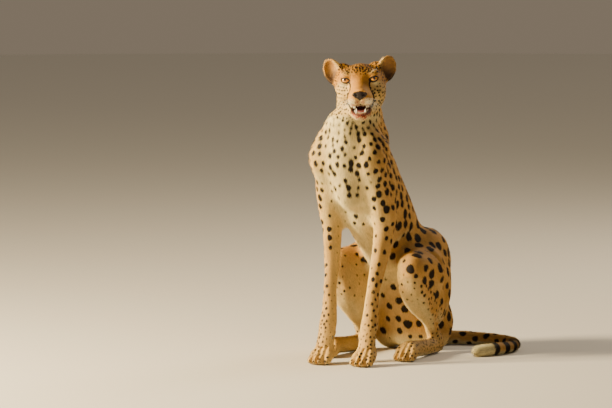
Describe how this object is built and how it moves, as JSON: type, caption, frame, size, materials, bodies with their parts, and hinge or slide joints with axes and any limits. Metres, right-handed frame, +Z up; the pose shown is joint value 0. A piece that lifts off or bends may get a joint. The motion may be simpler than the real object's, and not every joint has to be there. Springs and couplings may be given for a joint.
{
  "type": "life-size sitting cheetah, a still animal model",
  "caption": "Adult cheetah sitting upright on its haunches, head turned to its left, mouth slightly open, tail laid round on the floor.",
  "frame": {"origin": "on the floor, under the middle of the whole animal's bounding box", "axes": "+Z up, body facing -Y, the animal's left side towards +X"},
  "size_m": [0.4984, 0.76, 0.8752],
  "materials": {
    "coat": "short dense fur, tawny to cream, with solid black spots",
    "nose": "damp pebbled black skin",
    "mouth": "wet pink and dark skin of tongue, lips and gums",
    "eye": "glossy amber iris with round black pupil and dark rim",
    "teeth": "smooth ivory enamel",
    "claws": "dark worn horn"
  },
  "bodies": {
    "root": {"head": "coat", "ear_left": "coat", "ear_right": "coat", "neck": "coat", "lower_jaw": "coat", "trunk": "coat", "forearm_left": "coat", "forearm_right": "coat", "forepaw_left": "coat", "forepaw_right": "coat", "thigh_left": "coat", "thigh_right": "coat", "shank_left": "coat", "shank_right": "coat", "hindfoot_left": "coat", "hindfoot_right": "coat", "tail_root": "coat", "tail_middle": "coat", "tail_tip": "coat", "nose": "nose", "tongue": "mouth", "eye_left": "eye", "eye_right": "eye"}
  },
  "joints": []
}
